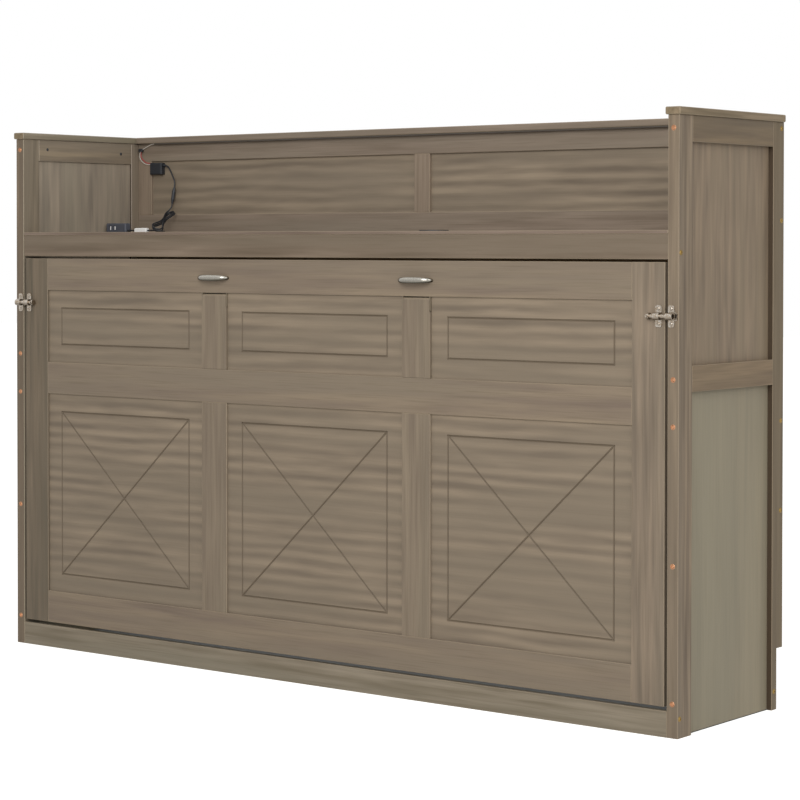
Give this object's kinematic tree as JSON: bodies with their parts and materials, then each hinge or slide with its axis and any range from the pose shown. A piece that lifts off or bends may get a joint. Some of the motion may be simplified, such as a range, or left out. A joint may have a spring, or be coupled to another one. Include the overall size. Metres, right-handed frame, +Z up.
{
  "type": "horizontal wall bed",
  "caption": "Horizontal fold-down wall bed: open shelf with lit back on top, panelled front that swings down on side pivots as a single bed with fold-out legs.",
  "frame": {"origin": "on the floor under the middle of the object's box", "axes": "+X to the right along the front, +Y from the front to the wall, +Z up"},
  "size_m": [2.07, 0.496, 1.377],
  "materials": {
    "frame_wood": "satin grey-brown woodgrain",
    "panel_wood": "satin grey-brown woodgrain",
    "bare_wood": "plain sanded softwood",
    "nickel": "satin nickel",
    "zinc": "zinc plate",
    "bronze": "bronze plate",
    "spring_black": "black paint",
    "rod_chrome": "polished",
    "black_plastic": "matt black",
    "white_plastic": "white",
    "strip_white": "clear over white",
    "lead_black": "black",
    "lead_red": "red and white pair"
  },
  "bodies": {
    "cabinet": {"left_front_post": "frame_wood", "right_front_post": "frame_wood", "rear_stiles": "frame_wood", "side_top_rails": "frame_wood", "side_middle_rails": "frame_wood", "side_upper_panels": "panel_wood", "side_lower_panels": "panel_wood", "left_cap": "frame_wood", "right_cap": "frame_wood", "back_cap": "frame_wood", "back_top_rail": "frame_wood", "back_bottom_rail": "frame_wood", "rear_stretcher": "bare_wood", "rear_floor_rail": "bare_wood", "back_stiles": "frame_wood", "back_panels": "panel_wood", "shelf_board": "frame_wood", "shelf_fascia": "frame_wood", "plinth": "frame_wood", "pivot_plates": "zinc", "side_spring_studs": "zinc", "bolt_keepers": "zinc", "frame_bolts": "bronze", "light_strip": "strip_white", "light_controller": "black_plastic", "power_outlet": "black_plastic", "cable_grommet": "black_plastic", "light_lead": "lead_red", "power_lead": "lead_black", "lead_connector": "lead_black", "lead_hank": "lead_black", "lead_switch": "white_plastic"},
    "bed": {"door_left_stile": "frame_wood", "door_right_stile": "frame_wood", "door_top_rail": "frame_wood", "door_middle_rail": "frame_wood", "door_bottom_rail": "frame_wood", "door_muntins": "frame_wood", "door_lower_panels": "panel_wood", "door_upper_panels": "panel_wood", "leg_pins": "zinc", "leg_brackets": "zinc", "leg_backers": "bare_wood", "pivot_bushes": "black_plastic", "bed_ends": "bare_wood", "bed_rails": "bare_wood", "bed_slats": "bare_wood", "bed_spring_studs": "zinc", "door_pulls": "nickel", "bolt_guides": "zinc"},
    "left_leg_flap": {"left_leg": "frame_wood"},
    "left_bolt": {"left_slide_bolt": "zinc"},
    "left_cylinder": {"left_spring_cylinder": "spring_black"},
    "left_rod": {"left_spring_rod": "rod_chrome"},
    "right_leg_flap": {"right_leg": "frame_wood"},
    "right_bolt": {"right_slide_bolt": "zinc"},
    "right_cylinder": {"right_spring_cylinder": "spring_black"},
    "right_rod": {"right_spring_rod": "rod_chrome"}
  },
  "joints": [
    {"name": "bed_fold", "type": "hinge", "parent": "cabinet", "child": "bed", "pos_m": [0, -0.182, 0.21465], "axis": [1, 0, 0], "range_deg": [0, 90], "stiffness_Nm_per_rad": 60, "springref_deg": -11.46},
    {"name": "left_leg_fold", "type": "hinge", "parent": "bed", "child": "left_leg_flap", "pos_m": [-0.31767, -0.21425, 0.945], "axis": [-1, 0, 0], "range_deg": [0, 90]},
    {"name": "left_bolt_slide", "type": "slide", "parent": "bed", "child": "left_bolt", "axis": [-1, 0, 0], "range_m": [0, 0.008]},
    {"name": "left_spring_swing", "type": "hinge", "parent": "cabinet", "child": "left_cylinder", "pos_m": [-0.986, 0.028, 0.783], "axis": [1, 0, 0], "range_deg": [0, 4.55]},
    {"name": "left_spring_stroke", "type": "slide", "parent": "left_cylinder", "child": "left_rod", "axis": [0, -0.2734, -0.9619], "range_m": [-0.1358, 0]},
    {"name": "right_leg_fold", "type": "hinge", "parent": "bed", "child": "right_leg_flap", "pos_m": [0.31767, -0.21425, 0.945], "axis": [-1, 0, 0], "range_deg": [0, 90]},
    {"name": "right_bolt_slide", "type": "slide", "parent": "bed", "child": "right_bolt", "axis": [1, 0, 0], "range_m": [0, 0.008]},
    {"name": "right_spring_swing", "type": "hinge", "parent": "cabinet", "child": "right_cylinder", "pos_m": [0.986, 0.028, 0.783], "axis": [1, 0, 0], "range_deg": [0, 4.55]},
    {"name": "right_spring_stroke", "type": "slide", "parent": "right_cylinder", "child": "right_rod", "axis": [0, -0.2734, -0.9619], "range_m": [-0.1358, 0]}
  ],
  "couplings": [
    {"joint": "left_spring_swing", "follows": "bed_fold", "ratio": 0.050294},
    {"joint": "left_spring_stroke", "follows": "bed_fold", "m_per_rad": -0.086299},
    {"joint": "right_spring_swing", "follows": "bed_fold", "ratio": 0.050294},
    {"joint": "right_spring_stroke", "follows": "bed_fold", "m_per_rad": -0.086299}
  ]
}
